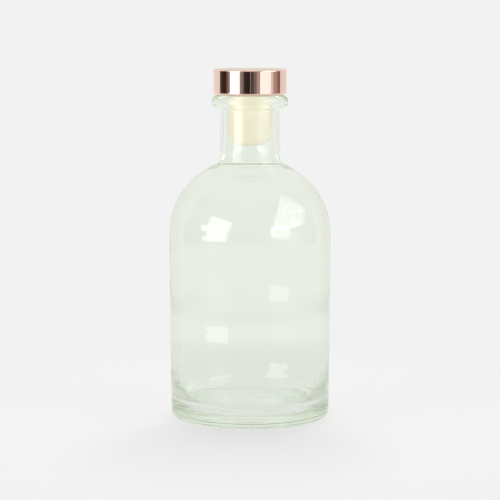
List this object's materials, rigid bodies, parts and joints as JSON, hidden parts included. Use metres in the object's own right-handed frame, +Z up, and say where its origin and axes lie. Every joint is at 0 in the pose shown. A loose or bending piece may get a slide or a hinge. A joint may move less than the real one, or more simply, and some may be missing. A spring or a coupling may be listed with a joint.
{
  "type": "stoppered glass bottle",
  "caption": "Clear round-shouldered glass bottle with a bead lip, closed by a push-in synthetic cork under a polished rose-gold metal cap.",
  "frame": {"origin": "middle of the base, on the surface the bottle stands on", "axes": "+Z up along the bottle's axis; the bottle is round, so +X and +Y are any two level directions"},
  "size_m": [0.0684, 0.0684, 0.148],
  "materials": {
    "glass": "clear, smooth, faintly green",
    "cap_metal": "mirror polished, rose-gold anodised",
    "insert_plastic": "as moulded, ivory",
    "cork": "smooth closed-cell foam, cream"
  },
  "bodies": {
    "bottle": {"glass_bottle": "glass"},
    "stopper": {"cap_shell": "cap_metal", "cap_insert": "insert_plastic", "stopper_shank": "cork"}
  },
  "joints": [
    {"name": "stopper_pull", "type": "slide", "parent": "bottle", "child": "stopper", "axis": [0, 0, 1], "range_m": [0, 0.045]}
  ]
}
